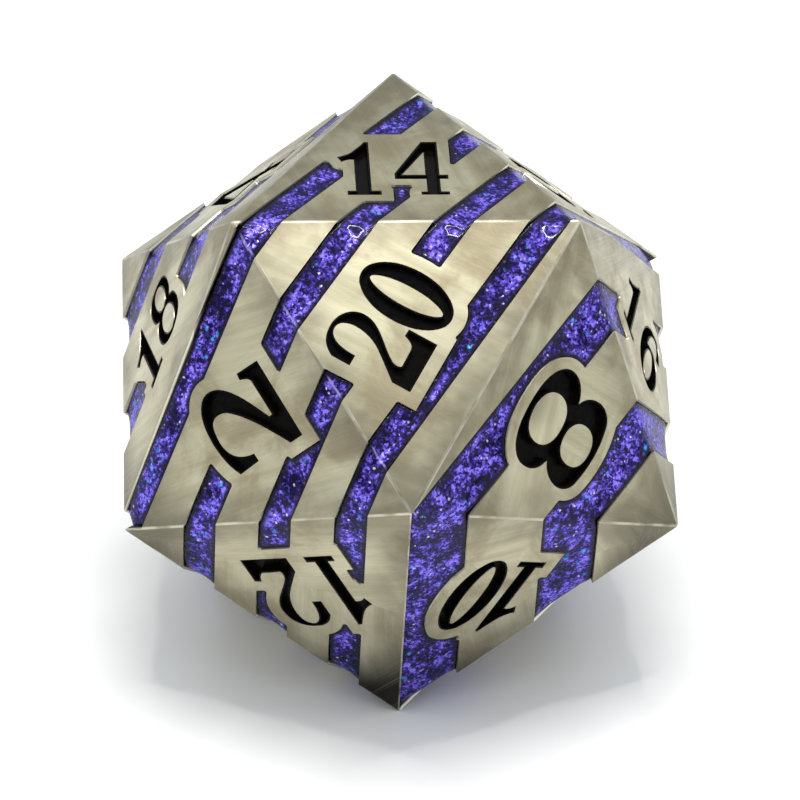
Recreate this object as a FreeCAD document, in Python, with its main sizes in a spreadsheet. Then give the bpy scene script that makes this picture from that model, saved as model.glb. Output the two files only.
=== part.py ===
"""Jumbo cast-metal twenty-sided die with painted numerals and glitter enamel stripes.

The die rests on face 7, so face 14 is on top and level.  The origin is the middle of the
resting face.  X runs along the edge between faces 14 and 20, and Z is up.  Millimetres.
"""
import FreeCAD
import Part
import math
import os
from FreeCAD import Vector

doc = FreeCAD.newDocument("polyhedral_die")

# ---------------------------------------------------------------- driving sizes
SIZES = [
    ("face_to_face", 35.0),
    ("edge_radius", 0.3),
    ("numeral_depth", 0.8),
    ("paint_floor", 0.2),
    ("paint_wall", 0.12),
    ("paint_low", 0.04),
    ("border_width", 0.93),
    ("snug_border", 0.78),
    ("corner_radius", 0.18),
    ("stripe_tilt", 52.1),
    ("stripe_pitch", 5.037),
    ("stripe_width", 2.177),
    ("inlay_depth", 0.7),
    ("inlay_low", 0.1),
    ("tool_overshoot", 0.6),
]
sheet = doc.addObject("Spreadsheet::Sheet", "Sizes")
for row, (alias, value) in enumerate(SIZES, start=1):
    sheet.set("A%d" % row, alias)
    sheet.set("B%d" % row, str(value))
    sheet.setAlias("B%d" % row, alias)
doc.recompute()


def size(alias):
    return float(getattr(sheet, alias))


# ---------------------------------------------------------------- the icosahedron
GOLDEN = (1 + math.sqrt(5)) / 2
FACE_TO_FACE = size("face_to_face")
EDGE = FACE_TO_FACE * math.sqrt(3) / GOLDEN ** 2
CENTRE = Vector(0, 0, FACE_TO_FACE / 2)
CAP_REACH = EDGE / math.sqrt(3)
BELT_REACH = GOLDEN * CAP_REACH
BELT_RISE = math.sqrt((EDGE * math.sin(math.radians(72))) ** 2 - BELT_REACH ** 2)


def around(reach, degrees, rise):
    """Corner at a distance from the upright axis, seen from the middle of the die."""
    turn = math.radians(degrees)
    return Vector(reach * math.cos(turn), reach * math.sin(turn), rise)


CORNERS = {
    "top_back": around(CAP_REACH, 90, FACE_TO_FACE / 2),
    "top_left": around(CAP_REACH, 210, FACE_TO_FACE / 2),
    "top_right": around(CAP_REACH, 330, FACE_TO_FACE / 2),
    "upper_front": around(BELT_REACH, 270, BELT_RISE),
    "upper_right": around(BELT_REACH, 30, BELT_RISE),
    "upper_left": around(BELT_REACH, 150, BELT_RISE),
}
OPPOSITE_CORNER = {
    "top_back": "base_front",
    "top_left": "base_right",
    "top_right": "base_left",
    "upper_front": "lower_back",
    "upper_right": "lower_left",
    "upper_left": "lower_right",
}
for name, other in list(OPPOSITE_CORNER.items()):
    CORNERS[other] = -CORNERS[name]
    OPPOSITE_CORNER[other] = name

# Each number with the corners above it, to its lower left and to its lower right.
FACES = {
    20: ("top_left", "upper_front", "top_right"),
    2: ("lower_left", "upper_front", "top_left"),
    14: ("top_back", "top_left", "top_right"),
    8: ("lower_right", "top_right", "upper_front"),
    12: ("base_front", "upper_front", "lower_left"),
    10: ("base_front", "lower_right", "upper_front"),
    18: ("upper_left", "lower_left", "top_left"),
    16: ("upper_right", "top_right", "lower_right"),
    4: ("upper_left", "top_left", "top_back"),
    6: ("upper_right", "top_back", "top_right"),
}
# Opposite faces add up to 21, and the far one is the near one turned through the centre.
for number, (up, left, right) in list(FACES.items()):
    FACES[21 - number] = (OPPOSITE_CORNER[up], OPPOSITE_CORNER[right], OPPOSITE_CORNER[left])


def face_placement(number):
    """Placement with x to the numeral's right, y to its top and z out of the face."""
    up, left, right = (CORNERS[name] for name in FACES[number])
    middle = (up + left + right) * (1 / 3)
    across = Vector(right - left).normalize()
    upward = Vector(up - middle).normalize()
    outward = across.cross(upward)
    frame = FreeCAD.Matrix(
        across.x, upward.x, outward.x, 0,
        across.y, upward.y, outward.y, 0,
        across.z, upward.z, outward.z, 0,
        0, 0, 0, 1)
    return FreeCAD.Placement(CENTRE + middle, FreeCAD.Placement(frame).Rotation)


# ---------------------------------------------------------------- digit outlines
# Outlines are on a grid of 100 by 100 that is stretched to each digit's width and height.
# A pair is the end of a straight line, and six values are a curve: two handles and its end.
ROUND = 0.5523
ARC_TOLERANCE = 0.02


def oval(x, y, reach_x, reach_y, side=ROUND, cap=ROUND):
    """Closed loop of four curves, squarer or more pointed as side and cap change."""
    return [
        (x - reach_x, y),
        (x - reach_x, y + side * reach_y, x - cap * reach_x, y + reach_y, x, y + reach_y),
        (x + cap * reach_x, y + reach_y, x + reach_x, y + side * reach_y, x + reach_x, y),
        (x + reach_x, y - side * reach_y, x + cap * reach_x, y - reach_y, x, y - reach_y),
        (x - cap * reach_x, y - reach_y, x - reach_x, y - side * reach_y, x - reach_x, y),
    ]


DIGITS = {
    "0": [oval(50, 50, 50, 50), oval(50, 50, 17.5, 40, side=0.6, cap=0.4)],
    "1": [[
        (20, 0), (20, 8), (40, 8), (40, 66), (32, 67, 20, 66, 11, 62), (0, 72),
        (30, 76, 46, 86, 66, 100), (77, 100), (77, 8), (100, 8), (100, 0)]],
    "2": [[
        (0, 64), (19, 64), (19, 84, 28, 95, 43, 95), (56, 95, 62, 88, 62, 78),
        (62, 62, 50, 50, 9, 20), (9, 0), (100, 0), (100, 31.5), (87, 32),
        (83, 22, 78, 20, 70, 20), (41, 19.5), (37, 20, 36, 25, 40, 30),
        (62, 50, 87, 58, 87, 76), (87, 91, 68, 100, 45, 100), (25, 100, 10, 96, 0, 84)]],
    "wide 2": [[
        (8, 62), (17.5, 62.5), (21, 80, 32, 91.5, 49, 91.5), (65, 91.5, 74, 86, 74, 78),
        (74, 60, 45, 42, 1.5, 17.5), (0, 0), (93, 0), (96, 29.5), (88.5, 30.7),
        (86, 24, 84, 20, 79, 19), (38, 18.6), (38, 22.5), (75, 40, 100, 52, 100, 74),
        (100, 90, 80, 100, 52, 100), (33, 100, 20, 96, 9, 90)]],
    "3": [[
        (6, 68), (26, 68), (28, 84, 36, 93, 47, 93), (60, 93, 65, 86, 65, 76),
        (65, 63, 55, 56, 36, 55), (36, 49), (60, 49, 71, 42, 71, 28),
        (71, 14, 62, 7, 48, 7), (34, 7, 26, 16, 24, 31), (3, 31), (5, 10, 20, 0, 48, 0),
        (80, 0, 100, 10, 100, 29), (100, 42, 90, 50, 74, 53), (88, 57, 94, 65, 94, 76),
        (94, 92, 75, 100, 48, 100), (22, 100, 6, 90, 6, 68)]],
    "4": [
        [(54, 100), (84, 100), (84, 37.5), (100, 37.5), (100, 29.5), (84, 29.5), (84, 6),
         (100, 6), (100, 0), (47, 0), (47, 6), (58.5, 6), (58.5, 29.5), (0, 29.5), (0, 40)],
        [(57.5, 80), (57.5, 37.5), (14, 37.5)]],
    "5": [[
        (14, 100), (94, 100), (94, 84), (27, 84), (27, 62), (35, 66, 44, 68, 54, 68),
        (84, 68, 100, 54, 100, 34), (100, 12, 80, 0, 48, 0), (20, 0, 5, 10, 3, 31), (24, 31),
        (26, 16, 34, 7, 48, 7), (62, 7, 71, 16, 71, 33), (71, 50, 62, 60, 48, 60),
        (38, 60, 30, 56, 24, 50), (14, 50)]],
    "6": [
        [(0, 48), (0, 80, 25, 100, 58, 100), (78, 100, 92, 92, 96, 73), (76, 71),
         (75, 84, 68, 92, 57, 92), (42, 92, 33, 80, 32, 62), (40, 67, 52, 69, 62, 68),
         (86, 66, 100, 54, 100, 36), (100, 14, 82, 0, 52, 0), (20, 0, 0, 18, 0, 48)],
        oval(50, 33, 18, 26)],
    "7": [[
        (0, 68), (0, 100), (100, 100), (100, 88), (80, 60, 58, 35, 54, 0), (24, 0),
        (28, 35, 50, 60, 76, 84), (22, 84), (15, 82, 13, 76, 12, 68)]],
    "8": [
        [(20, 52), (10, 56, 6, 65, 6, 75), (6, 92, 22, 100, 50, 100),
         (78, 100, 95, 92, 95, 75), (95, 65, 91, 57, 82, 52), (94, 48, 100, 40, 100, 28),
         (100, 10, 80, 0, 50, 0), (20, 0, 0, 10, 0, 28), (0, 40, 8, 48, 20, 52)],
        oval(52, 74, 20, 18, side=0.62, cap=0.62),
        oval(50.5, 28, 25, 20, side=0.62, cap=0.62)],
}
# A nine is a six turned half round.
DIGITS["9"] = [[tuple(100 - value for value in point) for point in loop] for loop in DIGITS["6"]]

SLIM_WIDTH = {
    "0": 3.85, "1": 2.85, "2": 4.1, "3": 3.75, "4": 3.6,
    "5": 3.75, "6": 3.65, "7": 3.75, "8": 3.65, "9": 3.65}
WIDE_WIDTH = {
    "1": 3.8, "2": 6.35, "3": 6.6, "4": 6.3, "5": 6.5, "6": 6.8, "7": 6.3, "8": 7.3, "9": 6.8}

# Numerals with a narrower border, and those whose border isn't squared at the corners.
SNUG = (8, 14)
UNSQUARED = (14,)
# Rectangles of metal left beside a numeral: left, bottom, right, top.
METAL_LEFT = {14: [(-3.4, 1.0, 0.9, 4.8), (-4.3, -4.055, -0.67, -2.5)]}

# Height, gap between the digits, and shift right and up of the numeral from its face's middle.
USUAL_SETTING = (6.95, 0.6, 0.0, 0.7)
SETTINGS = {
    20: (6.8, 0.0, -0.8, 0.8),
    14: (7.05, 0.95, -0.6, 0.25),
    2: (6.4, 0.0, 0.4, 0.5),
    8: (6.95, 0.0, 0.35, 0.7),
    12: (7.1, 1.0, 0.15, 0.55),
    10: (7.25, -0.1, 0.0, 1.15),
    18: (6.6, 0.45, 0.1, 0.7),
    16: (7.1, 0.9, 0.25, 0.85),
}


def loop_poles(loop, left, bottom, width, height):
    """Control points of each edge of one outline, stretched to a box."""
    def place(x, y):
        return Vector(left + width * x / 100, bottom + height * y / 100, 0)
    start = place(*loop[0])
    here = start
    poles = []
    for point in loop[1:]:
        reached = [place(*point[i:i + 2]) for i in range(0, len(point), 2)]
        poles.append([here] + reached)
        here = reached[-1]
    if here.distanceToPoint(start) > 1e-6:
        poles.append([here, start])
    return poles


def pole_wire(poles):
    """Closed wire of straight lines, and of arcs that follow the curves."""
    edges = []
    for points in poles:
        if len(points) == 2:
            edges.append(Part.makeLine(*points))
        else:
            curve = Part.BezierCurve()
            curve.setPoles(points)
            edges += [arc.toShape() for arc in curve.toBSpline().toBiArcs(ARC_TOLERANCE)]
    return Part.Wire(edges)


def border_faces(poles, width, squared):
    """The band of metal kept round one digit: rounded everywhere, then squared at its corners."""
    faces = [Part.Face(pole_wire(poles).makeOffset2D(width, join=0).Wires[0])]
    if not squared:
        return faces
    around_loop = sum(points[0].cross(points[-1]).z for points in poles)
    for here, following in zip(poles, poles[1:] + poles[:1]):
        corner = here[-1]
        arriving = Vector(here[-1] - here[-2]).normalize()
        leaving = Vector(following[1] - following[0]).normalize()
        if arriving.cross(leaving).z * around_loop < 0.1 * abs(around_loop):
            continue
        side = width * math.copysign(1, around_loop)
        first = Vector(arriving.y, -arriving.x, 0) * side
        second = Vector(leaving.y, -leaving.x, 0) * side
        spread = 1 + first.dot(second) / width ** 2
        if spread > 0.3:
            tip = corner + (first + second) * (1 / spread)
            kite = [corner, corner + first, tip, corner + second, corner]
            faces.append(Part.Face(Part.makePolygon(kite)))
    return faces


def numeral_faces(number):
    """Flat faces of a numeral, one for each digit, and the metal borders round them."""
    height, gap, shift_x, shift_y = SETTINGS.get(number, USUAL_SETTING)
    text = str(number)
    widths = WIDE_WIDTH if len(text) == 1 else SLIM_WIDTH
    total = sum(widths[digit] for digit in text) + gap * (len(text) - 1)
    left = shift_x - total / 2
    bottom = shift_y - height / 2
    faces = []
    borders = []
    border_width = size("snug_border" if number in SNUG else "border_width")
    for digit in text:
        name = "wide 2" if text == "2" else digit
        loops = [loop_poles(loop, left, bottom, widths[digit], height) for loop in DIGITS[name]]
        face = Part.Face(pole_wire(loops[0]))
        for hole in loops[1:]:
            face = face.cut(Part.Face(pole_wire(hole))).Faces[0]
        faces.append(face)
        borders += border_faces(loops[0], border_width, number not in UNSQUARED)
        left += widths[digit] + gap
    for x1, y1, x2, y2 in METAL_LEFT.get(number, []):
        ring = [Vector(x1, y1), Vector(x2, y1), Vector(x2, y2), Vector(x1, y2), Vector(x1, y1)]
        borders.append(Part.Face(Part.makePolygon(ring)))
    return faces, borders


# ---------------------------------------------------------------- stripes
# The stripes lie between parallel planes.  The planes hold the edge from upper_front to
# base_front, and the rows of four on each side of the die's middle mirror one another.
ROWS = [side * (step + 0.5) for side in (-1, 1) for step in range(4)]
# Bits of stripe under this many square millimetres stay metal, unless a larger bit on the next
# face carries them over the edge.
LEAST_AREA = 2.6
LEAST_EDGE_AREA = 1.3
# Stripes are drawn past a face's edges, so that only their ends at a numeral get rounded.
TRIANGLE_GROWTH = 1.25


def stripe_normal():
    along = Vector(CORNERS["upper_front"] - CORNERS["base_front"]).normalize()
    sideways = Vector(1, 0, 0)
    outward = sideways.cross(along)
    tilt = math.radians(size("stripe_tilt"))
    return sideways * math.sin(tilt) + outward * math.cos(tilt)


def clipped(points, reading, limit, keep):
    """Part of a polygon where keep * (reading - limit) is positive."""
    result = []
    for a, b in zip(points, points[1:] + points[:1]):
        side_a = keep * (reading(a) - limit)
        side_b = keep * (reading(b) - limit)
        if side_a >= 0:
            result.append(a)
        if (side_a > 0 > side_b) or (side_a < 0 < side_b):
            result.append(a + (b - a) * (side_a / (side_a - side_b)))
    return result


def stripe_faces(number, borders):
    """Flat faces of the stripes on one face of the die, in that face's own placement."""
    placement = face_placement(number)
    inverse = placement.inverse()
    triangle = [inverse.multVec(CENTRE + CORNERS[name]) for name in FACES[number]]
    whole = Part.Face(Part.makePolygon(triangle + triangle[:1]))
    grown = [point * TRIANGLE_GROWTH for point in triangle]
    normal = stripe_normal()

    def reading(point):
        return (placement.multVec(point) - CENTRE).dot(normal)

    half = size("stripe_width") / 2
    radius = size("corner_radius")
    kept = []
    for row in ROWS:
        middle = row * size("stripe_pitch")
        points = clipped(grown, reading, middle - half, 1)
        if len(points) > 2:
            points = clipped(points, reading, middle + half, -1)
        if len(points) < 3:
            continue
        band = Part.Face(Part.makePolygon(points + points[:1])).cut(borders)
        for part in band.Faces:
            if part.Area < LEAST_AREA:
                continue
            for core_face in part.makeOffset2D(-radius, join=0).Faces:
                rounded = core_face.makeOffset2D(radius, join=0)
                bits = rounded.common(whole).Faces
                kept += [face for face in bits if face.Area > LEAST_EDGE_AREA]
    return kept


# ---------------------------------------------------------------- document objects
def bind(thing, **formulas):
    """Tie properties of an object to cells of the sheet."""
    for name, formula in formulas.items():
        thing.setExpression(name, formula)


def outline(name, faces, placement):
    """Flat profile that part.py draws from the sheet's sizes."""
    thing = doc.addObject("Part::Feature", name)
    thing.Shape = Part.Compound(faces)
    thing.Placement = placement
    return thing


def extrusion(name, profile, direction, forward, backward):
    thing = doc.addObject("Part::Extrusion", name)
    thing.Base = profile
    thing.DirMode = "Custom"
    thing.Dir = direction
    thing.Solid = True
    bind(thing, LengthFwd=forward, LengthRev=backward)
    return thing


def combine(kind, name, shapes):
    thing = doc.addObject(kind, name)
    thing.Shapes = shapes
    return thing


def sector(number):
    """Pyramid from the die's middle out through one face."""
    tips = [CENTRE + CORNERS[name] * 1.1 for name in FACES[number]]
    walls = [Part.Face(Part.makePolygon([CENTRE, a, b, CENTRE]))
             for a, b in zip(tips, tips[1:] + tips[:1])]
    walls.append(Part.Face(Part.makePolygon(tips + tips[:1])))
    thing = doc.addObject("Part::Feature", "sector_%02d" % number)
    thing.Shape = Part.Solid(Part.Shell(walls))
    return thing


# Ten slabs, one for each pair of opposite faces, meet in the sharp-cornered core.
slabs = []
for number in range(11, 21):
    placement = face_placement(number)
    slab = doc.addObject("Part::Box", "slab_%02d" % number)
    bind(slab,
         Length="Sizes.face_to_face * 2",
         Width="Sizes.face_to_face * 2",
         Height="Sizes.face_to_face - 2 * Sizes.edge_radius")
    outward = placement.Rotation.multVec(Vector(0, 0, 1))
    thickness = FACE_TO_FACE - 2 * size("edge_radius")
    start = Vector(-FACE_TO_FACE, -FACE_TO_FACE, -thickness / 2)
    slab.Placement = FreeCAD.Placement(
        CENTRE + placement.Rotation.multVec(start), placement.Rotation)
    slabs.append(slab)
core = combine("Part::MultiCommon", "core", slabs)
core.Refine = True
blank = doc.addObject("Part::Offset", "blank")
blank.Source = core
blank.Mode = "Skin"
blank.Join = "Arc"
bind(blank, Value="Sizes.edge_radius")
doc.recompute()

recess_tools = []
pocket_tools = []
inlay_blocks = []
paints = {}
for number in sorted(FACES):
    placement = face_placement(number)
    outward = placement.Rotation.multVec(Vector(0, 0, 1))
    digits, borders = numeral_faces(number)
    profile = outline("numeral_outline_%02d" % number, digits, placement)
    inner_faces = []
    for face in digits:
        inner_faces += face.makeOffset2D(-size("paint_wall"), join=0).Faces
    inner = outline("paint_hollow_%02d" % number, inner_faces, placement)
    pocket = extrusion("pocket_%02d" % number, profile, outward,
                       "Sizes.tool_overshoot", "Sizes.numeral_depth")
    pocket_tools.append(pocket)
    fill = extrusion("paint_block_%02d" % number, profile, outward,
                     "-Sizes.paint_low", "Sizes.numeral_depth")
    hollow = extrusion("paint_cut_%02d" % number, inner, outward,
                       "Sizes.tool_overshoot", "Sizes.numeral_depth - Sizes.paint_floor")
    paint = doc.addObject("Part::Cut", "paint_%02d" % number)
    paint.Base = fill
    paint.Tool = hollow
    paints[number] = paint

    stripes = stripe_faces(number, borders)
    if not stripes:
        continue
    wedge = sector(number)
    shape = outline("stripe_outline_%02d" % number, stripes, placement)
    deep = extrusion("recess_block_%02d" % number, shape, outward,
                     "Sizes.tool_overshoot", "Sizes.inlay_depth")
    recess_tools.append(combine("Part::MultiCommon", "recess_%02d" % number, [deep, wedge]))
    block = extrusion("inlay_block_%02d" % number, shape, outward,
                      "-Sizes.inlay_low", "Sizes.inlay_depth")
    inlay_blocks.append(combine("Part::MultiCommon", "inlay_face_%02d" % number, [block, wedge]))

recesses = combine("Part::MultiFuse", "recesses", recess_tools)
inlays = combine("Part::MultiFuse", "inlays", inlay_blocks)
inlays.Refine = True
striped = doc.addObject("Part::Cut", "striped_blank")
striped.Base = blank
striped.Tool = recesses
pockets = doc.addObject("Part::Compound", "pockets")
pockets.Links = pocket_tools
body = doc.addObject("Part::Cut", "body")
body.Base = striped
body.Tool = pockets
doc.recompute()

nodes = {"die_body": body}
for number, paint in paints.items():
    nodes["numeral_paint_%02d" % number] = paint


def faces_under(solid):
    """Numbers of the die's faces that one inlay lies on."""
    found = []
    for block in inlay_blocks:
        if solid.common(block.Shape).Volume > 1e-3:
            found.append(int(block.Name[-2:]))
    return sorted(found)


def inlay_label(solid):
    """Name from the stripe, counted from the left, and the faces that the inlay crosses."""
    along = (solid.CenterOfMass - CENTRE).dot(stripe_normal()) / size("stripe_pitch")
    nearest = min(ROWS, key=lambda row: abs(row - along))
    stripe = "enamel_stripe_%d" % (ROWS_IN_ORDER.index(nearest) + 1)
    numbers = faces_under(solid)
    if len(numbers) > 3:
        return stripe + "_long"
    return "_".join([stripe, "on"] + ["%02d" % number for number in numbers])


ROWS_IN_ORDER = sorted(ROWS)
for solid in inlays.Shape.Solids:
    label = inlay_label(solid)
    if label in nodes:
        raise RuntimeError("two inlays are called " + label)
    inlay = doc.addObject("Part::Feature", label)
    inlay.Shape = solid
    nodes[label] = inlay

# ---------------------------------------------------------------- checks and files
for label, thing in nodes.items():
    thing.Label = label
doc.recompute()
failed = [thing.Name for thing in doc.Objects if {"Invalid", "Error"} & set(thing.State)]
failed += [label for label, thing in nodes.items()
           if thing.Shape.isNull() or not thing.Shape.isValid()]
if failed:
    raise RuntimeError("not built: " + ", ".join(failed))

os.makedirs("parts", exist_ok=True)
for label, thing in sorted(nodes.items()):
    thing.Shape.exportStep("parts/%s.step" % label)
    print(label, len(thing.Shape.Solids), round(thing.Shape.Volume, 3))
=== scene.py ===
"""Cast metal twenty-sided die with glossy black numerals and violet glitter enamel stripes."""

import math

import bpy
import bmesh
import numpy as np
from mathutils import Matrix, Vector
from mathutils.kdtree import KDTree


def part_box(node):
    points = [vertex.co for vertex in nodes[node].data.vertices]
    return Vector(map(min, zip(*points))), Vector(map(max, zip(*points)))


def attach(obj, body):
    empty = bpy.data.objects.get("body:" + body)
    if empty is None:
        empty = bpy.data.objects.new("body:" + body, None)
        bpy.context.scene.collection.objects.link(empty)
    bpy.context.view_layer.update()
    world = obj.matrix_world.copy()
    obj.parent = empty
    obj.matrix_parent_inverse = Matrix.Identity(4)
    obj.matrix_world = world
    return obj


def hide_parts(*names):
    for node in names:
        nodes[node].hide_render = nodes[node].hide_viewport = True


MM = 0.001

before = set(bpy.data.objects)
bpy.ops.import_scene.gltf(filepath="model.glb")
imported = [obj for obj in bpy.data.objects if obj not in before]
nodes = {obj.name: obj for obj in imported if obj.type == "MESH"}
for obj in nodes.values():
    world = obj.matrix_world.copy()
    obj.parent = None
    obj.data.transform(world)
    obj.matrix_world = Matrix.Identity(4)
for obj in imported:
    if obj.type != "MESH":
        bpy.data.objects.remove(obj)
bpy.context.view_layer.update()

# ------------------------------------------------------------------ the solid behind it all
low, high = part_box("die_body")
FACE_TO_FACE = high[2] - low[2]
INRADIUS = FACE_TO_FACE / 2
CENTRE = Vector((0, 0, INRADIUS))
GOLDEN = (1 + math.sqrt(5)) / 2
EDGE = FACE_TO_FACE * math.sqrt(3) / GOLDEN ** 2
# Three corners lie round the top face (the cap), three lower down (the belt), six opposite them.
CORNER_REACH = EDGE * math.sin(math.radians(72))
CAP_REACH = EDGE / math.sqrt(3)
BELT_REACH = GOLDEN * CAP_REACH
BELT_RISE = math.sqrt(CORNER_REACH ** 2 - BELT_REACH ** 2)


def around(reach, degrees, rise):
    """A point at a height, so far from the upright axis and so many degrees round it."""
    turn = math.radians(degrees)
    return Vector((reach * math.cos(turn), reach * math.sin(turn), rise))


def icosahedron_axes():
    """Outward normals of ten faces, one of each opposite pair."""
    slack = 1.01
    parallel = 0.99
    corners = [around(CAP_REACH, 90 + 120 * i, INRADIUS) for i in range(3)]
    corners += [around(BELT_REACH, 30 + 120 * i, BELT_RISE) for i in range(3)]
    corners += [-corner for corner in corners]
    axes = []
    for i, a in enumerate(corners):
        for j, b in enumerate(corners[:i]):
            for c in corners[:j]:
                sides = [(a - b).length, (b - c).length, (c - a).length]
                if max(sides) < EDGE * slack:
                    axis = (a + b + c).normalized()
                    if all(abs(axis.dot(other)) < parallel for other in axes):
                        axes.append(axis)
    return axes


AXES = icosahedron_axes()
ALL_NORMALS = np.array([tuple(axis) for axis in AXES + [-axis for axis in AXES]])
# Angle between the normals of two faces that share an edge.
FACE_TURN = math.acos(math.sqrt(5) / 3)
# Outward normals of the faces numbered 20 and 2, and how far their shared edge is from the middle.
FACE_20 = Vector((0, -math.sin(FACE_TURN), math.cos(FACE_TURN)))
FACE_2 = Matrix.Rotation(math.radians(120), 3, FACE_20) @ Vector((0, 0, 1))
EDGE_REACH = EDGE * GOLDEN / 2


# ------------------------------------------------------------------ node helpers
# Taken away from a random colour, it leaves an arrow that can point any way.
HALF = (0.5, 0.5, 0.5)


class Nodes:
    """Short way to write a node tree.  Most methods add nodes and give back an output."""

    def __init__(self, tree):
        self.tree = tree

    def add(self, kind, **settings):
        node = self.tree.nodes.new(kind)
        for key, value in settings.items():
            setattr(node, key, value)
        return node

    def link(self, source, target):
        self.tree.links.new(source, target)

    def fill(self, socket, value):
        """Sets a socket to a fixed value, or links it to another node's output."""
        if hasattr(value, "is_output"):
            self.link(value, socket)
        else:
            socket.default_value = value

    def noise(self, vector, scale, detail=2.0, roughness=0.5, distortion=0.0, output="Fac"):
        node = self.add("ShaderNodeTexNoise")
        self.link(vector, node.inputs["Vector"])
        node.inputs["Scale"].default_value = scale
        node.inputs["Detail"].default_value = detail
        node.inputs["Roughness"].default_value = roughness
        node.inputs["Distortion"].default_value = distortion
        return node.outputs[output]

    def cells(self, vector, scale):
        """Random cells: each one's random colour, and the distance from its middle."""
        node = self.add("ShaderNodeTexVoronoi")
        self.link(vector, node.inputs["Vector"])
        node.inputs["Scale"].default_value = scale
        return node.outputs["Color"], node.outputs["Distance"]

    def channel(self, colour, name):
        node = self.add("ShaderNodeSeparateColor")
        self.link(colour, node.inputs["Color"])
        return node.outputs[name]

    def math(self, operation, a, b=0.0):
        node = self.add("ShaderNodeMath", operation=operation)
        self.fill(node.inputs[0], a)
        self.fill(node.inputs[1], b)
        return node.outputs[0]

    def blend(self, a, b, share):
        """Share of one value and the rest of another."""
        return self.math("ADD", self.math("MULTIPLY", a, share), self.math("MULTIPLY", b, 1 - share))

    def ranged(self, value, from_low, from_high, to_low=0.0, to_high=1.0, smooth=False):
        """Takes one range of values to another, and holds them inside it."""
        node = self.add("ShaderNodeMapRange")
        if smooth:
            node.interpolation_type = "SMOOTHSTEP"
        self.fill(node.inputs["Value"], value)
        for name, number in (("From Min", from_low), ("From Max", from_high),
                             ("To Min", to_low), ("To Max", to_high)):
            self.fill(node.inputs[name], number)
        return node.outputs["Result"]

    def mix(self, factor, a, b, blend="MIX"):
        node = self.add("ShaderNodeMix", data_type="RGBA", blend_type=blend)
        self.fill(node.inputs["Factor"], factor)
        self.fill(node.inputs["A"], a)
        self.fill(node.inputs["B"], b)
        return node.outputs["Result"]

    def ramp(self, value, stops):
        node = self.add("ShaderNodeValToRGB")
        elements = node.color_ramp.elements
        while len(elements) > 1:
            elements.remove(elements[-1])
        elements[0].position, elements[0].color = stops[0]
        for position, colour in stops[1:]:
            elements.new(position).color = colour
        self.link(value, node.inputs["Fac"])
        return node.outputs["Color"]

    def bump(self, height, strength, distance, normal=None):
        """Small relief, its distance in millimetres, on top of another relief if there is one."""
        node = self.add("ShaderNodeBump")
        self.fill(node.inputs["Height"], height)
        node.inputs["Strength"].default_value = strength
        node.inputs["Distance"].default_value = distance * MM
        if normal is not None:
            self.link(normal, node.inputs["Normal"])
        return node.outputs["Normal"]

    def vector_math(self, operation, a, b=(0, 0, 0)):
        node = self.add("ShaderNodeVectorMath", operation=operation)
        self.fill(node.inputs[0], a)
        if operation == "SCALE":
            self.fill(node.inputs["Scale"], b)
        elif operation != "NORMALIZE":
            self.fill(node.inputs[1], b)
        scalar = operation in ("DOT_PRODUCT", "LENGTH")
        return node.outputs["Value" if scalar else "Vector"]

    def combined(self, x, y, z=0.0):
        node = self.add("ShaderNodeCombineXYZ")
        for socket, value in zip(node.inputs, (x, y, z)):
            self.fill(socket, value)
        return node.outputs["Vector"]


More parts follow.
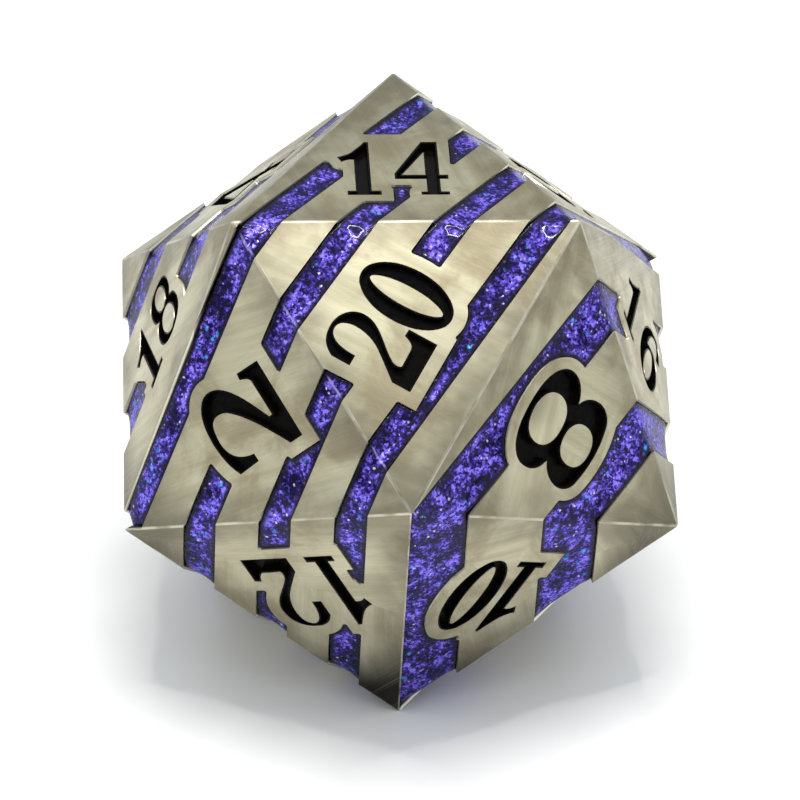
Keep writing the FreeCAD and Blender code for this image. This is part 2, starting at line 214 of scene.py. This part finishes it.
class Surface(Nodes):
    """A new material with one shader."""

    def __init__(self, name):
        self.material = bpy.data.materials.new(name)
        self.material.use_nodes = True
        super().__init__(self.material.node_tree)
        self.tree.nodes.clear()
        output = self.add("ShaderNodeOutputMaterial")
        self.shader = self.add("ShaderNodeBsdfPrincipled")
        self.link(self.shader.outputs["BSDF"], output.inputs["Surface"])

    def coordinates(self):
        """Object coordinates in millimetres."""
        mapping = self.add("ShaderNodeMapping")
        mapping.inputs["Scale"].default_value = (1 / MM, 1 / MM, 1 / MM)
        self.link(self.add("ShaderNodeTexCoord").outputs["Object"], mapping.inputs["Vector"])
        return mapping.outputs["Vector"]

    def face_frame(self):
        """Where a point lies on the die, in millimetres.

        Gives its depth below the flat faces, its distance to the nearest edge of the die, its two
        coordinates on the face, along and across the brushing, and its offset from the middle.
        Each face has its own brushing direction.
        """
        place = self.add("ShaderNodeTexCoord").outputs["Object"]
        spoke = self.vector_math("SUBTRACT", place, CENTRE)
        spoke = self.vector_math("SCALE", spoke, 1 / MM)
        first = 0.0
        second = 0.0
        normal = self.combined(0.0, 0.0, 0.0)
        for axis in AXES:
            reach = self.math("ABSOLUTE", self.vector_math("DOT_PRODUCT", spoke, axis))
            nearer = self.math("GREATER_THAN", reach, first)
            change = self.vector_math("SUBTRACT", axis, normal)
            normal = self.vector_math("ADD", normal, self.vector_math("SCALE", change, nearer))
            second = self.math("MAXIMUM", second, self.math("MINIMUM", first, reach))
            first = self.math("MAXIMUM", first, reach)
        below = self.math("SUBTRACT", INRADIUS / MM, first)
        edge = self.math("DIVIDE", self.math("SUBTRACT", first, second), math.sin(FACE_TURN))
        pick = self.add("ShaderNodeTexWhiteNoise", noise_dimensions="3D")
        side = self.math("SIGN", self.vector_math("DOT_PRODUCT", spoke, normal))
        self.link(self.vector_math("SCALE", normal, side), pick.inputs["Vector"])
        aim = self.vector_math("SUBTRACT", pick.outputs["Color"], HALF)
        along = self.vector_math("CROSS_PRODUCT", normal, aim)
        along = self.vector_math("NORMALIZE", along)
        across = self.vector_math("CROSS_PRODUCT", normal, along)
        u = self.vector_math("DOT_PRODUCT", spoke, along)
        v = self.vector_math("DOT_PRODUCT", spoke, across)
        return below, edge, u, v, spoke

    def seam(self, place, drift):
        """A pale hairline that wavers along the edge between faces 20 and 2, a painted highlight on
        the crease where the resin of the two faces meets; sizes in millimetres.
        """
        waver = 0.1
        inner = 0.04
        outer = 0.095
        strength = 0.8
        depth = 1.2
        spoke = self.vector_math("SUBTRACT", place, CENTRE / MM)
        off = self.vector_math("DOT_PRODUCT", spoke, (FACE_20 - FACE_2).normalized())
        off = self.math("ADD", off, self.ranged(drift, 0.3, 0.7, -waver, waver))
        line = self.ranged(self.math("ABSOLUTE", off), inner, outer, strength, 0.0, smooth=True)
        out = self.vector_math("DOT_PRODUCT", spoke, (FACE_20 + FACE_2).normalized())
        return self.math("MULTIPLY", line, self.math("GREATER_THAN", out, EDGE_REACH / MM - depth))

    def strokes(self, u, v, length, width, turn=0.0, detail=3.0):
        """Brush strokes of about one length and width, turned by some degrees from the main way.

        The turn is also the third coordinate, so that two kinds of stroke differ in pattern.
        """
        cosine = math.cos(math.radians(turn))
        sine = math.sin(math.radians(turn))
        forward = self.math("ADD", self.math("MULTIPLY", u, cosine), self.math("MULTIPLY", v, sine))
        sideways = self.math("SUBTRACT", self.math("MULTIPLY", v, cosine),
                             self.math("MULTIPLY", u, sine))
        vector = self.combined(self.math("DIVIDE", forward, length),
                               self.math("DIVIDE", sideways, width), turn)
        return self.noise(vector, 1.0, detail=detail, roughness=0.6)


def grey(value):
    return (value, value, value, 1)


# ------------------------------------------------------------------ materials
SILVERS = [
    (0.34, (0.33, 0.298, 0.203, 1)),
    (0.5, (0.465, 0.433, 0.305, 1)),
    (0.66, (0.61, 0.58, 0.43, 1)),
]
TARNISH = (0.225, 0.18, 0.105, 1)
DULL_BORDER = (0.19, 0.168, 0.12, 1)
# Painted shade for the corners of the faces low down near the table.
LOW_CORNER_SHADE = (0.014, 0.012, 0.009, 1)
SCRATCH = (0.62, 0.59, 0.48, 1)
# Bright edges and rims: partly worn metal, partly a painted highlight.
EDGE_AND_RIM_HIGHLIGHT = (0.72, 0.685, 0.57, 1)
DARK_HOLLOW = (0.022, 0.02, 0.02, 1)

VIOLETS = [
    (0.34, (0.004, 0.002, 0.024, 1)),
    (0.43, (0.010, 0.005, 0.068, 1)),
    (0.51, (0.033, 0.018, 0.19, 1)),
    (0.59, (0.098, 0.060, 0.52, 1)),
    (0.69, (0.28, 0.21, 1.0, 1)),
]
# Lilac flakes with a painted glint on them.
LILAC_FLAKE_AND_GLINT = (0.75, 0.66, 1.0, 1)
CYAN_FLAKE = (0.05, 0.42, 0.95, 1)
# Painted highlight along the seam between faces 20 and 2.
SEAM_HIGHLIGHT = (0.34, 0.31, 0.55, 1)
# Painted shade for the resin's edge where it meets its wall.
WELL_SHADE = (0.006, 0.004, 0.018, 1)
VIOLET_SHINE = (0.12, 0.1, 0.4, 1)

# Ranges in millimetres from the die's edge, from the middle of a face, up from the table, below
# the flat faces and from the resin's rim.
BORDER = (0.15, 3.6)
WORN_AND_HIGHLIT_EDGE = (0.04, 0.16)
FACE_CORNER = (6.0, 11.0)
LOW_DOWN = (12, 31)
POCKET_RIM = (0.01, 0.03)
POCKET_HOLLOW = (0.11, 0.24)
RESIN_WELL = (0.2, 0.56)
# Range of the brush marks' noise that changes their tone and roughness.
BRUSH_SPAN = (0.36, 0.64)

BLACKS = [(0.3, (0.0015, 0.0013, 0.0012, 1)), (0.75, (0.006, 0.005, 0.0045, 1))]
WHITES = [(0.3, grey(0.93)), (0.7, grey(0.95))]


def metal_material():
    """Antique silver plate: hand brushed a different way on every face, darker in hollows."""
    n = Surface("antique_silver")
    plain = n.coordinates()
    below, edge, u, v, spoke = n.face_frame()

    # Brush marks, from hairs to smears, with lengths and widths in millimetres.
    hairs = n.strokes(u, v, length=9.0, width=0.06)
    crossing = n.strokes(u, v, length=5.0, width=0.08, turn=17)
    scratches = n.strokes(u, v, length=8.0, width=0.11, turn=-38, detail=2)
    streaks = n.strokes(u, v, length=26.0, width=0.95, turn=-4)
    smears = n.strokes(u, v, length=24.0, width=3.8, turn=7, detail=2)
    brushed = n.blend(hairs, crossing, 0.6)
    wear = n.noise(plain, 0.5, detail=3)

    # Cloudy silver with brown stains.
    colour = n.ramp(n.blend(smears, streaks, 0.55), SILVERS)
    stain = n.noise(plain, 0.16, detail=5, roughness=0.62, distortion=0.4)
    tarnish = n.ranged(stain, 0.45, 0.66, 0.0, 0.62, smooth=True)
    colour = n.mix(tarnish, colour, TARNISH)

    # Duller along the die's edges, and painted shade, nearly black, in the corners of the faces low
    # down near the table.
    patches = n.ranged(wear, 0.35, 0.65, 0.4, 1.0)
    border = n.math("MULTIPLY", n.ranged(edge, *BORDER, 0.75, 0.0, smooth=True), patches)
    colour = n.mix(border, colour, DULL_BORDER)
    cornered = n.ranged(n.vector_math("LENGTH", n.combined(u, v)), *FACE_CORNER, smooth=True)
    height = n.vector_math("DOT_PRODUCT", plain, (0, 0, 1))
    uneven_height = n.math("ADD", height, n.math("MULTIPLY", wear, 14))
    # The painted shade grows towards a face's corners and towards the table.
    low_shade = n.math("MULTIPLY", cornered, n.ranged(uneven_height, *LOW_DOWN, 1.0, 0.0))
    colour = n.mix(low_shade, colour, LOW_CORNER_SHADE)

    # Scratches that bare the metal where it is tarnished and where the painted shade darkens it, and
    # the tone of the brushing over it all.
    tarnish_and_shade = n.math("MAXIMUM", low_shade, tarnish)
    scores = n.math("MULTIPLY", n.ranged(scratches, 0.6, 0.74, 0.0, 0.25), tarnish_and_shade)
    colour = n.mix(scores, colour, SCRATCH)
    shade = n.ranged(brushed, *BRUSH_SPAN, 0.92, 1.06)
    colour = n.mix(1.0, colour, n.combined(shade, shade, shade), "MULTIPLY")

    # Bright edges of the die, partly worn and partly a painted highlight, a painted highlight along
    # the rims of the pockets and recesses, and black hollows.
    worn_and_highlit = n.math("MULTIPLY", n.ranged(edge, *WORN_AND_HIGHLIT_EDGE, 0.6, 0.0, smooth=True),
                  n.ranged(wear, 0.4, 0.6, 0.15, 1.0))
    # A painted highlight along the rims of the pockets and recesses.
    rim = n.math("MULTIPLY", n.ranged(below, *POCKET_RIM), 0.85)
    colour = n.mix(n.math("MAXIMUM", worn_and_highlit, rim), colour, EDGE_AND_RIM_HIGHLIGHT)
    hollow = n.ranged(below, *POCKET_HOLLOW, smooth=True)
    colour = n.mix(n.math("MULTIPLY", hollow, 0.96), colour, DARK_HOLLOW)
    n.link(colour, n.shader.inputs["Base Color"])
    n.shader.inputs["Metallic"].default_value = 1.0

    rough = n.ranged(brushed, *BRUSH_SPAN, 0.44, 0.3)
    rough = n.math("ADD", rough, n.math("MULTIPLY", tarnish_and_shade, 0.12))
    n.link(rough, n.shader.inputs["Roughness"])

    # Faces slightly domed by polishing, with the brush marks on them.
    normal = n.bump(n.math("MULTIPLY", n.vector_math("DOT_PRODUCT", spoke, spoke), -1.0), 1.0, 0.003)
    normal = n.bump(smears, 1.0, 0.045, normal)
    normal = n.bump(streaks, 1.0, 0.0035, normal)
    normal = n.bump(brushed, 0.5, 0.0045, normal)
    n.link(normal, n.shader.inputs["Normal"])
    return n.material


def enamel_material():
    """Violet glitter: fine flakes tilted every way, under a smooth clear coat."""
    n = Surface("glitter_enamel")
    plain = n.coordinates()
    wobble = n.noise(plain, 5.0, output="Color")
    shaken = n.vector_math("ADD", plain, n.vector_math("SCALE", wobble, 0.22))
    lumps = n.noise(plain, 2.2, detail=3, roughness=0.62)
    drift = n.noise(plain, 0.7, detail=2)

    # The ground: fine flakes and larger lumps of them, from nearly black to light violet.
    fine, _ = n.cells(shaken, 6.5)
    tone = n.blend(n.channel(fine, "Red"), lumps, 0.3)
    tone = n.math("ADD", tone, n.ranged(drift, 0.32, 0.68, -0.13, 0.12))
    colour = n.ramp(tone, VIOLETS)

    # A few lilac flakes, lit up by a painted glint brightest at each flake's middle, and fewer,
    # larger cyan ones.
    speck, speck_reach = n.cells(shaken, 4.2)
    lilac = n.math("GREATER_THAN", n.channel(speck, "Green"), 0.965)
    painted_glint = n.ranged(speck_reach, 0.15, 0.5, 1.0, 0.0)
    colour = n.mix(n.math("MULTIPLY", lilac, painted_glint), colour, LILAC_FLAKE_AND_GLINT)
    chip, chip_reach = n.cells(shaken, 2.3)
    cyan = n.math("GREATER_THAN", n.channel(chip, "Blue"), 0.945)
    core = n.ranged(chip_reach, 0.2, 0.55, 0.95, 0.0)
    patch = n.math("MULTIPLY", cyan, n.math("MULTIPLY", core, n.ranged(lumps, 0.38, 0.58)))
    colour = n.mix(patch, colour, CYAN_FLAKE)

    # A painted highlight on the seam between faces 20 and 2, and painted shade, a dark line, where
    # the resin meets its wall.
    colour = n.mix(n.seam(plain, drift), colour, SEAM_HIGHLIGHT)
    rim = n.add("ShaderNodeAttribute", attribute_name="rim").outputs["Fac"]
    # Painted shade, a dark band along the resin's edge next to its wall.
    well_shade = n.ranged(rim, *RESIN_WELL, 0.95, 0.0, smooth=True)
    colour = n.mix(well_shade, colour, WELL_SHADE)
    n.link(colour, n.shader.inputs["Base Color"])
    n.shader.inputs["Metallic"].default_value = 0.6
    n.shader.inputs["Roughness"].default_value = 0.36
    n.shader.inputs["Specular IOR Level"].default_value = 0.05
    n.shader.inputs["Specular Tint"].default_value = VIOLET_SHINE

    # Every fine flake leans its own way, and the coat over them is smooth.
    facing = n.add("ShaderNodeNewGeometry").outputs["Normal"]
    lean = n.vector_math("SUBTRACT", fine, HALF)
    tilted = n.vector_math("ADD", facing, n.vector_math("SCALE", lean, 0.6))
    n.link(n.vector_math("NORMALIZE", tilted), n.shader.inputs["Normal"])
    n.shader.inputs["Coat Weight"].default_value = 0.34
    n.shader.inputs["Coat Roughness"].default_value = 0.03
    n.shader.inputs["Coat IOR"].default_value = 1.5
    ripple = n.bump(n.noise(plain, 0.7, detail=1), 0.5, 0.05)
    n.link(ripple, n.shader.inputs["Coat Normal"])
    return n.material


def paint_material():
    """Gloss black paint, a little uneven."""
    n = Surface("gloss_black_paint")
    plain = n.coordinates()
    mottle = n.noise(plain, 2.2, detail=4)
    n.link(n.ramp(mottle, BLACKS), n.shader.inputs["Base Color"])
    n.link(n.ranged(mottle, 0.3, 0.7, 0.2, 0.38), n.shader.inputs["Roughness"])
    n.shader.inputs["Specular IOR Level"].default_value = 0.04
    n.link(n.bump(n.noise(plain, 1.4, detail=2), 0.5, 0.06), n.shader.inputs["Normal"])
    return n.material


def floor_material():
    """White paper with hardly any pattern."""
    n = Surface("white_sweep")
    tone = n.noise(n.coordinates(), 0.004, detail=1)
    n.link(n.ramp(tone, WHITES), n.shader.inputs["Base Color"])
    n.shader.inputs["Roughness"].default_value = 0.6
    n.shader.inputs["Specular IOR Level"].default_value = 0.2
    return n.material


# ------------------------------------------------------------------ pieces
MERGE_WITHIN = 1e-7

# Resin.  Its outline on the faces is found as sharp edges that lie less than RIM_DEPTH deep.
VOXEL = 0.1 * MM
ROUNDING = 0.3 * MM
DISH_DEPTH = 0.14 * MM
DISH_REACH = 1.1 * MM
RECESS_DEPTH = 0.7 * MM
SHAPED_HEIGHT = 0.6 * MM
RIM_DEPTH = 0.25 * MM
RIM_STEP = 0.1 * MM
SHARP_COSINE = 0.3

# Body.
FLAT_DEGREES = 0.3
BEVEL_WIDTH = 0.09 * MM
BEVEL_DEGREES = 40


def paint_over(thing, material):
    """Gives every material slot of a CAD node one material."""
    if not thing.material_slots:
        thing.data.materials.append(material)
    for slot in thing.material_slots:
        slot.link = "OBJECT"
        slot.material = material


def remeshed(node):
    """The solid of a CAD node again, with an even skin of small faces."""
    source = bpy.data.objects.new(node.name + "_source", node.data.copy())
    bpy.context.scene.collection.objects.link(source)
    remesh = source.modifiers.new("remesh", "REMESH")
    remesh.mode = "VOXEL"
    remesh.voxel_size = VOXEL
    graph = bpy.context.evaluated_depsgraph_get()
    mesh = bpy.data.meshes.new_from_object(source.evaluated_get(graph))
    bpy.data.objects.remove(source)
    return mesh


def rim_points(mesh):
    """Points close together along the resin's outline on the faces."""
    points = []
    shell = bmesh.new()
    shell.from_mesh(mesh)
    bmesh.ops.remove_doubles(shell, verts=shell.verts, dist=MERGE_WITHIN)
    for edge in shell.edges:
        if len(edge.link_faces) != 2:
            continue
        first, second = (face.normal for face in edge.link_faces)
        if abs(first.dot(second)) > SHARP_COSINE:
            continue
        a, b = (vert.co for vert in edge.verts)
        depth = INRADIUS - max(abs((a - CENTRE).dot(axis)) for axis in AXES)
        if depth > RIM_DEPTH:
            continue
        steps = max(1, int((b - a).length / RIM_STEP))
        points += [a.lerp(b, i / steps) for i in range(steps + 1)]
    shell.free()
    return points


def distances(places, points):
    """How far each place is from the nearest of the points."""
    tree = KDTree(len(points))
    for i, point in enumerate(points):
        tree.insert(point, i)
    tree.balance()
    return np.array([tree.find(place)[2] for place in places.tolist()])


def poured(places, distance):
    """Places on a resin skin, rounded over the die's edges and dished away from the rim.

    Each place moves inwards, fully near the top and not at all on the floor of the recess.
    """
    spread = (places - np.array(CENTRE)) @ ALL_NORMALS.T
    top = spread.max(axis=1)
    share = np.clip((top - (INRADIUS - RECESS_DEPTH)) / SHAPED_HEIGHT, 0, 1)
    pull = np.exp((spread - top[:, None]) / ROUNDING)
    sunk = ROUNDING * np.log(pull.sum(axis=1))
    sunk += DISH_DEPTH * np.sin(np.clip(distance / DISH_REACH, 0, 1) * math.pi / 2)
    outward = (pull / pull.sum(axis=1)[:, None]) @ ALL_NORMALS
    outward /= np.linalg.norm(outward, axis=1)[:, None]
    return places - outward * (sunk * share)[:, None]


def enamel_piece(node, material):
    """Poured resin in place of a CAD inlay.  The attribute rim says how far the rim is, in mm."""
    mesh = remeshed(node)
    places = np.empty(len(mesh.vertices) * 3)
    mesh.vertices.foreach_get("co", places)
    places = places.reshape(-1, 3)
    distance = distances(places, rim_points(node.data))
    mesh.vertices.foreach_set("co", poured(places, distance).ravel())
    attribute = mesh.attributes.new("rim", "FLOAT", "POINT")
    attribute.data.foreach_set("value", distance / MM)
    for polygon in mesh.polygons:
        polygon.use_smooth = True
    mesh.materials.clear()
    mesh.materials.append(material)

    piece = bpy.data.objects.new(node.name + "_resin", mesh)
    bpy.context.scene.collection.objects.link(piece)
    smooth = piece.modifiers.new("smooth", "SMOOTH")
    smooth.factor = 0.5
    smooth.iterations = 8
    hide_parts(node.name)
    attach(piece, "root")


def soften_edges(body):
    """Joins the CAD triangles into flat faces and rounds the sharp edges between these."""
    weld = body.modifiers.new("weld", "WELD")
    weld.merge_threshold = MERGE_WITHIN
    flatten = body.modifiers.new("flatten", "DECIMATE")
    flatten.decimate_type = "DISSOLVE"
    flatten.angle_limit = math.radians(FLAT_DEGREES)
    bevel = body.modifiers.new("bevel", "BEVEL")
    bevel.width = BEVEL_WIDTH
    bevel.segments = 2
    bevel.limit_method = "ANGLE"
    bevel.angle_limit = math.radians(BEVEL_DEGREES)
    bevel.harden_normals = True


metal = metal_material()
enamel = enamel_material()
paint = paint_material()

for name, node in nodes.items():
    if name.startswith("enamel"):
        enamel_piece(node, enamel)
    elif name == "die_body":
        paint_over(node, metal)
    else:
        paint_over(node, paint)
soften_edges(nodes["die_body"])


# ------------------------------------------------------------------ floor, light and camera
FLOOR_HALF = 0.9
WARM = (1.0, 0.88, 0.62)
LIGHTLY_WARM = (1.0, 0.97, 0.92)
SKY_COLOUR = (0.93, 0.975, 1.0, 1)

# Degrees for the angles, metres for the distances, millimetres for the lens and the sensor.
CAMERA_AZIMUTH = -93.30
CAMERA_ELEVATION = 32.29
CAMERA_ROLL = 1.46
CAMERA_DISTANCE = 0.4205
AIM_RIGHT = 0.271 * MM
AIM_UP = -0.639 * MM
LENS = 275.8
SENSOR = 36
CLIP_START = 0.01
CLIP_END = 10


def floor_piece():
    """A large flat square under the die."""
    corners = [(x * FLOOR_HALF, y * FLOOR_HALF, 0) for x, y in ((-1, -1), (1, -1), (1, 1), (-1, 1))]
    mesh = bpy.data.meshes.new("floor")
    mesh.from_pydata(corners, [], [(0, 1, 2, 3)])
    mesh.materials.append(floor_material())
    floor = bpy.data.objects.new("floor", mesh)
    bpy.context.scene.collection.objects.link(floor)


def softbox(name, place, width, height, watts, colour=(1, 1, 1)):
    """A flat lamp that faces the die's middle."""
    lamp = bpy.data.lights.new(name, "AREA")
    lamp.shape = "RECTANGLE"
    lamp.size = width
    lamp.size_y = height
    lamp.energy = watts
    lamp.color = colour
    thing = bpy.data.objects.new(name, lamp)
    thing.location = place
    aim = CENTRE - Vector(place)
    thing.rotation_euler = aim.to_track_quat("-Z", "Y").to_euler()
    bpy.context.scene.collection.objects.link(thing)
    return thing


def ring_lamp(height, reach, breadth, watts):
    """Six thin strips in a hexagon overhead, seen as small rings in the resin's clear coat."""
    sides = 6
    for turn in range(sides):
        angle = math.radians(360 / sides * turn)
        place = (reach * math.cos(angle), reach * math.sin(angle), height)
        strip = softbox("ring_strip_%d" % turn, place, breadth, reach * 2 / math.sqrt(3),
                        watts / sides, LIGHTLY_WARM)
        strip.rotation_euler = (0, 0, angle)


def sky(low, high, start, front):
    """A light tent: dim up to a height, brighter towards the top, open on the camera's side."""
    opening_from = -0.9
    opening_to = -0.1
    world = bpy.data.worlds.new("studio")
    world.use_nodes = True
    n = Nodes(world.node_tree)
    place = n.add("ShaderNodeTexCoord").outputs["Generated"]
    up = n.vector_math("DOT_PRODUCT", place, (0, 0, 1))
    back = n.vector_math("DOT_PRODUCT", place, (0, 1, 0))
    strength = n.math("MULTIPLY", n.ranged(up, start, 1.0, low, high),
                      n.ranged(back, opening_from, opening_to, front, 1.0))
    backdrop = n.tree.nodes["Background"]
    backdrop.inputs["Color"].default_value = SKY_COLOUR
    n.link(strength, backdrop.inputs["Strength"])
    bpy.context.scene.world = world


def studio_camera():
    """Looks at the die from in front and above, a little rolled."""
    azimuth = math.radians(CAMERA_AZIMUTH)
    elevation = math.radians(CAMERA_ELEVATION)
    roll = math.radians(CAMERA_ROLL)
    back = Vector((math.cos(elevation) * math.cos(azimuth),
                   math.cos(elevation) * math.sin(azimuth), math.sin(elevation)))
    level = Vector((-math.sin(azimuth), math.cos(azimuth), 0))
    rise = back.cross(level)
    right = level * math.cos(roll) + rise * math.sin(roll)
    upward = rise * math.cos(roll) - level * math.sin(roll)
    lens = bpy.data.cameras.new("camera")
    lens.lens = LENS
    lens.sensor_width = SENSOR
    lens.clip_start = CLIP_START
    lens.clip_end = CLIP_END
    camera = bpy.data.objects.new("camera", lens)
    place = CENTRE + right * AIM_RIGHT + upward * AIM_UP + back * CAMERA_DISTANCE
    turn = Matrix((right, upward, back)).transposed().to_4x4()
    camera.matrix_world = Matrix.Translation(place) @ turn
    bpy.context.scene.collection.objects.link(camera)
    bpy.context.scene.camera = camera
    bpy.context.scene.view_settings.view_transform = "Standard"


floor_piece()
sky(low=0.6, high=1.62, start=0.42, front=0.35)
softbox("overhead", (0.0, 0.08, 0.44), width=0.36, height=0.36, watts=0.08, colour=WARM)
ring_lamp(height=0.40, reach=0.07, breadth=0.008, watts=0.85)
softbox("left_panel", (-0.42, -0.12, 0.2), width=0.36, height=0.34, watts=0.31)
softbox("right_panel", (0.42, -0.08, 0.2), width=0.36, height=0.34, watts=0.28)
studio_camera()
